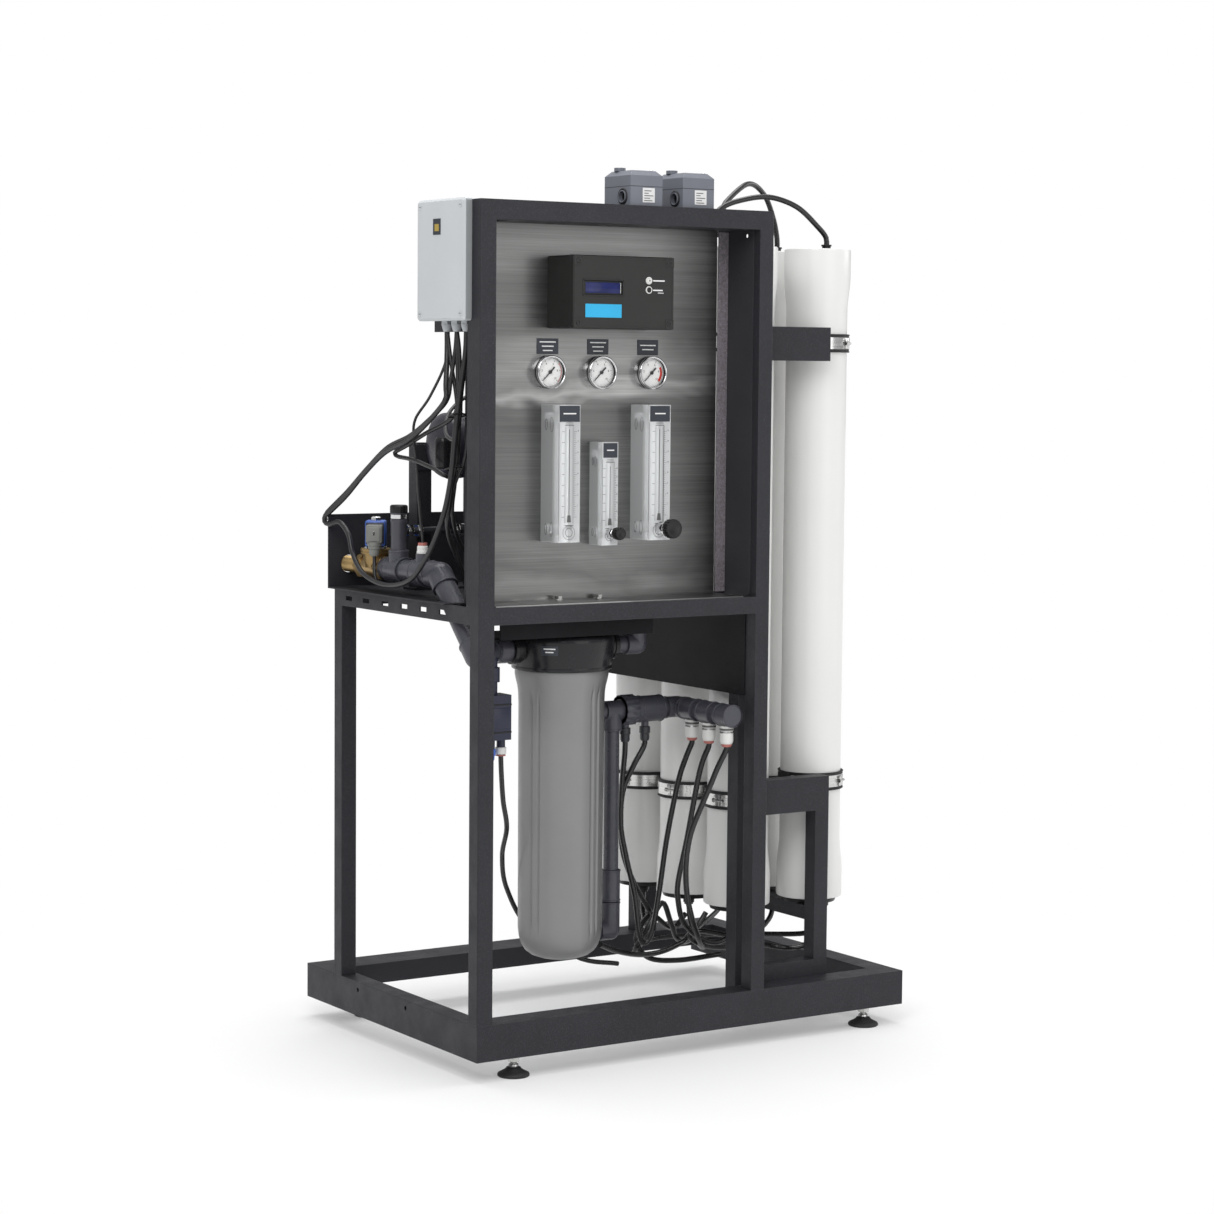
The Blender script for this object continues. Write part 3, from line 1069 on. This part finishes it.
run_lines("vessel_top_hoses", HOSE, replaces="vessel_hoses", lines=(
    (5, [(540, 195, 1250), (552, 202, 1390), (600, 216, 1440), (651, 230, 1470),
         (667, 240, 1489), (731, 260, 1526), (783, 280, 1509), (815, 293, 1465),
         (827, 297, 1428), (827, 297, TOP_END)]),
    (5, [(540, 155, 1250), (548, 172, 1390), (590, 188, 1442), (624, 195, 1474),
         (662, 185, 1490), (714, 170, 1497), (765, 152, 1480), (808, 143, 1444),
         (826, 142, 1425), (827, 142, TOP_END)]),
    (5, [(660, 452, TOP_END), (664, 452, 1428), (690, 453, 1442), (790, 453, 1442),
         (823, 452, 1428), (827, 452, TOP_END)]),
    (5, [(660, 142, TOP_END), (661, 150, 1428), (668, 180, 1438), (668, 262, 1438),
         (661, 290, 1428), (660, 297, TOP_END)]),
))
run_lines("manifold_feed_hoses", HOSE, replaces="manifold_hoses", lines=(
    (5.1, [(535, 141, 508), (535, 141, 500), (526, 146, 474), (513, 152, 428), (497, 163, 325),
           (488, 174, 221), (481, 186, 148), (468, 190, 128), (456, 190, 147), (446, 190, 217),
           (432, 198, 286), (424, 206, 348), (427, 205, 409), (441, 194, 455), (462, 190, 492),
           (464, 190, 504)]),
    (5.1, [(535, 87, 508), (535, 87, 500), (525, 93, 470), (518, 99, 429), (506, 111, 331),
           (496, 124, 249), (501, 130, 212), (516, 136, 173), (548, 140, 143), (590, 142, 125),
           (628, 142, 136), (640, 142, LOW_END)]),
    (5.1, [(535, 32, 508), (535, 32, 500), (523, 41, 468), (511, 50, 430), (489, 68, 359),
           (484, 77, 318), (486, 85, 276), (496, 94, 228), (515, 103, 179), (546, 125, 135),
           (584, 170, 112), (618, 240, 112), (638, 288, 138), (640, 297, LOW_END)]),
    (5.1, [(421, 190, 506), (421, 190, 486), (423, 202, 422), (428, 212, 350), (439, 219, 291),
           (472, 228, 228), (530, 256, 158), (594, 370, 112), (634, 445, 138),
           (640, 452, LOW_END)]),
))
run_lines("drain_and_link_hoses", HOSE, (
    (5, [(841, 142, LOW_END), (840, 142, 150), (826, 136, 122), (780, 124, 103),
         (715, 128, 108), (654, 275, 118), (592, 250, 106), (531, 225, 100), (465, 200, 105),
         (400, 178, 122), (352, 160, 142)]),
    (5, [(841, 452, LOW_END), (838, 448, 146), (800, 430, 118), (720, 380, 100), (640, 300, 96),
         (590, 262, 112), (560, 240, 150), (535, 232, 190), (500, 226, 150), (470, 222, 112),
         (520, 300, 84), (600, 380, 88), (660, 330, 100), (740, 250, 108), (820, 160, 118),
         (806, 146, 150), (807, 142, 176)]),
    (5, [(841, 297, LOW_END), (838, 296, 150), (816, 280, 124), (760, 260, 100), (690, 230, 92),
         (620, 215, 104), (576, 200, 128), (597, 200, 150), (612, 200, 170)]),
    (5, [(633, 297, 150), (606, 292, 128), (567, 262, 138), (520, 250, 165), (480, 236, 128),
         (500, 226, 92), (560, 216, 82), (640, 190, 90)]),
))

# Cables from the electrical box glands: radius, stations
CABLES = (
    (4.6, [(14, 136, 1245), (13, 134, 1205), (4, 122, 1150), (-4, 112, 1122), (-4, 180, 1080),
           (-4, 242, 1052), (-4, 323, 1029), (-4, 397, 991), (-6, 463, 948), (-13, 512, 917),
           (-15, 527, 909), (-15, 531, 898), (-13, 516, 893), (-7, 487, 898), (-4, 458, 876),
           (-4, 444, 845), (-4, 406, 812), (-4, 340, 796), (-4, 276, 798), (-4, 222, 814),
           (-4, 178, 848), (-4, 144, 884), (-4, 110, 937), (-2, 92, 997), (0, 84, 1061),
           (4, 78, 1125), (12, 71, 1200), (14, 70, 1245)]),
    (3.6, [(14, 103, 1245), (13, 106, 1210), (8, 112, 1160), (4, 120, 1122), (3, 186, 1086),
           (2, 246, 1060), (2, 325, 1038), (2, 398, 1000), (-2, 466, 956), (-9, 512, 926),
           (-13, 529, 912), (-12, 532, 900)]),
    (3.8, [(14, 103, 1245), (16, 103, 1180), (16, 103, 1116), (16, 129, 1090), (16, 207, 1067),
           (16, 278, 1043), (16, 318, 1031), (16, 322, 1026), (16, 310, 1022), (16, 259, 1018),
           (18, 189, 1005), (24, 160, 994), (60, 200, 990), (110, 262, 1000)]),
    (2.4, [(14, 136, 1245), (15, 142, 1190), (12, 190, 1130), (10, 238, 1090), (13, 250, 1057),
           (19, 250, 1013), (22, 250, 970), (26, 250, 926), (30, 248, 886), (30, 247, 872)]),
    (3.8, [(14, 70, 1245), (12, 74, 1180), (10, 82, 1125), (10, 84, 1099), (10, 97, 1069),
           (10, 94, 1027), (10, 109, 984), (14, 126, 945), (24, 150, 905), (58, 172, 850),
           (92, 190, 784)]),
    (3.4, [(14, 103, 1245), (18, 100, 1200), (20, 102, 1120), (22, 110, 1040), (26, 128, 980),
           (34, 150, 930), (62, 176, 880), (120, 220, 830), (150, 240, 784)]),
    (3.4, [(14, 136, 1245), (16, 126, 1190), (20, 112, 1120), (26, 120, 1060), (44, 190, 1064),
           (90, 260, 1100), (150, 290, 1130), (205, 300, 1120)]),
    (3.0, [(14, 70, 1245), (18, 66, 1180), (20, 68, 1110), (20, 84, 1026), (16, 108, 985),
           (16, 126, 945), (26, 152, 895), (60, 176, 845), (110, 215, 800), (150, 236, 784)]),
)
# Loop of a cable tie about its centre
TIE = ((-13, -14, 2), (-13, 6, -2), (10, 16, -3), (16, -2, 0), (4, -16, 3), (-12, -15, 3))
part = Part()
for radius, stations in CABLES:
    part.tube(stations, radius, CABLE)
for x, y, z in ((8, 92, 1098), (8, 102, 1008)):
    part.tube([(x + dx, y + dy, z + dz) for dx, dy, dz in TIE], 1.5, BLACK, sides=8, step=4)
part.make("cable_bundle")

# ------------------------------------------------------- panel flange and motor
part = Part()
part.box(549.5, 94.4, 780, 21.6, 0.7, 645, FLANGE, 0.3, 1)
part.make("panel_flange")

MOTOR_Y, MOTOR_Z = 320, 1041
part = Part()
# ring round the motor, a stub facing front, and the domed left end
part.lathe([(56, 0), (58.6, 1.2), (59, 4), (58.6, 6.8), (56, 8)],
           142, MOTOR_Y, MOTOR_Z, MOTOR, 96, "X")
part.lathe([(5, 0), (9, 0), (10, 2), (10, 12), (8, 13)], 236, 280, 1110, BLACK, 32, "-Y")
part.lathe([(0, -3), (14, -2.6), (30, -0.6), (44, 3), (53, 8.5), (57.6, 16), (58.4, 24)],
           99, MOTOR_Y, MOTOR_Z, MOTOR, 96, "X")
# bright unions low on the stand posts, joined by a thin pipe
for x in (64, 84, 160, 180):
    part.lathe([(8, 0), (11.4, 0), (12, 1), (12, 9), (11.4, 10), (8, 10)],
               x, 366, 887, CHROME, 6, "X")
part.tube([(52, 366, 887), (252, 366, 887)], 6.4, PVC_DARK, sides=20)
part.lathe([(0, 0), (9, 0.4), (11, 3), (11, 16), (8, 19), (4, 20), (4, 26), (0, 26)],
           150, 366, 892, MOTOR, 28)
# run capacitor strapped to the near side of the motor
part.lathe([(0, 0), (11, 0.4), (14.6, 3), (15.6, 7), (15.8, 14), (15.8, 46), (15.2, 52),
            (12.6, 56), (0, 57)], 80, 262, 1001, HEAD, 56)
part.box(84, 258, 1022, 26, 8, 12, ZINC, 1)
part.make("motor_dressing")


# ------------------------------------------------------ floor, world and lights
def floor_sweep():
    """Pale floor that turns to plain white away from the middle."""
    g = new_shader("floor_pale_sweep")
    g.principled(Base_Color=g.mix(g.remap(g.noise(scale=3, detail=3)), (0.93, 0.93, 0.93),
                                  (0.95, 0.95, 0.95)),
                 Roughness=0.8, Specular_IOR_Level=0.1)
    distance = g.node("VectorMath", {0: g.coords.outputs["Object"]},
                      operation="LENGTH").outputs["Value"]
    glow = g.node("Emission", {"Color": (1, 1, 1), "Strength": 1.0}).outputs[0]
    fade = g.remap(distance, to=(0.25, 1.0), over=(0.55, 1.5))
    g.output("Material Output", g.mix_shaders(fade, g.surface.outputs[0], glow))
    return g.owner


FLOOR_HALF = 40  # metres
data = bpy.data.meshes.new("floor")
data.from_pydata([(x * FLOOR_HALF, y * FLOOR_HALF, 0)
                  for x, y in ((-1, -1), (1, -1), (1, 1), (-1, 1))], [], [(0, 1, 2, 3)])
floor = bpy.data.objects.new("floor", data)
data.materials.append(floor_sweep())
scene.collection.objects.link(floor)

# World: a grey-to-white sky lights the scene, and the camera sees plain white
sky = Shader(bpy.data.worlds.new("studio"))
scene.world = sky.owner
gradient = sky.ramp(sky.axes("Generated")["Z"], (
    (0.0, (0.55, 0.55, 0.56)), (0.25, (0.62, 0.62, 0.63)), (0.55, (0.95, 0.95, 0.95)),
    (1.0, (1.0, 1.0, 1.0))))
light = sky.tree.nodes["Background"]
sky.feed(light, {"Strength": 0.64, "Color": gradient})
seen = sky.node("Background", {"Color": (1, 1, 1), "Strength": 1.0})
sky.output("World Output", sky.mix_shaders(sky.node("LightPath").outputs["Is Camera Ray"],
                                           light.outputs[0], seen.outputs[0]))


def add_area(name, at, target, size, power):
    lamp = bpy.data.lights.new(name, "AREA")
    lamp.energy = power
    lamp.size = size
    made = bpy.data.objects.new(name, lamp)
    made.location = at
    made.rotation_euler = (Vector(target) - Vector(at)).to_track_quat("-Z", "Y").to_euler()
    scene.collection.objects.link(made)


add_area("key", at=(-2.4, -2.6, 3.2), target=(0, 0, 0.7), size=2.2, power=62)
add_area("front", at=(0.8, -4.2, 1.6), target=(0, 0, 0.8), size=2.4, power=22)
add_area("right", at=(3.4, -0.6, 2.4), target=(0.2, 0, 0.7), size=1.8, power=24)
add_area("top", at=(0, 0.4, 4.2), target=(0, 0, 0), size=2.6, power=84)

# ----------------------------------------------------------------------- camera
CAMERA_AT = (-2480.5532, -4209.8055, 1177.1131)  # layout mm
YAW, PITCH, ROLL = 0.5764, 0.081, 0.0086  # radians right, down and about the view line
lens = bpy.data.cameras.new("cam")
lens.sensor_width = 36
lens.lens = 86.5253358
lens.clip_end = 200
camera = bpy.data.objects.new("cam", lens)
scene.collection.objects.link(camera)
scene.camera = camera
forward = Vector((math.sin(YAW) * math.cos(PITCH), math.cos(YAW) * math.cos(PITCH),
                  -math.sin(PITCH)))
right = Vector((math.cos(YAW), -math.sin(YAW), 0))
up = right.cross(forward)
rolled_right = right * math.cos(ROLL) + up * math.sin(ROLL)
rolled_up = -right * math.sin(ROLL) + up * math.cos(ROLL)
pose = Matrix((rolled_right, rolled_up, -forward)).transposed().to_4x4()
pose.translation = Vector([value + shift for value, shift in zip(CAMERA_AT, ORIGIN)]) / 1000
camera.matrix_world = pose
scene.view_settings.view_transform = "Standard"
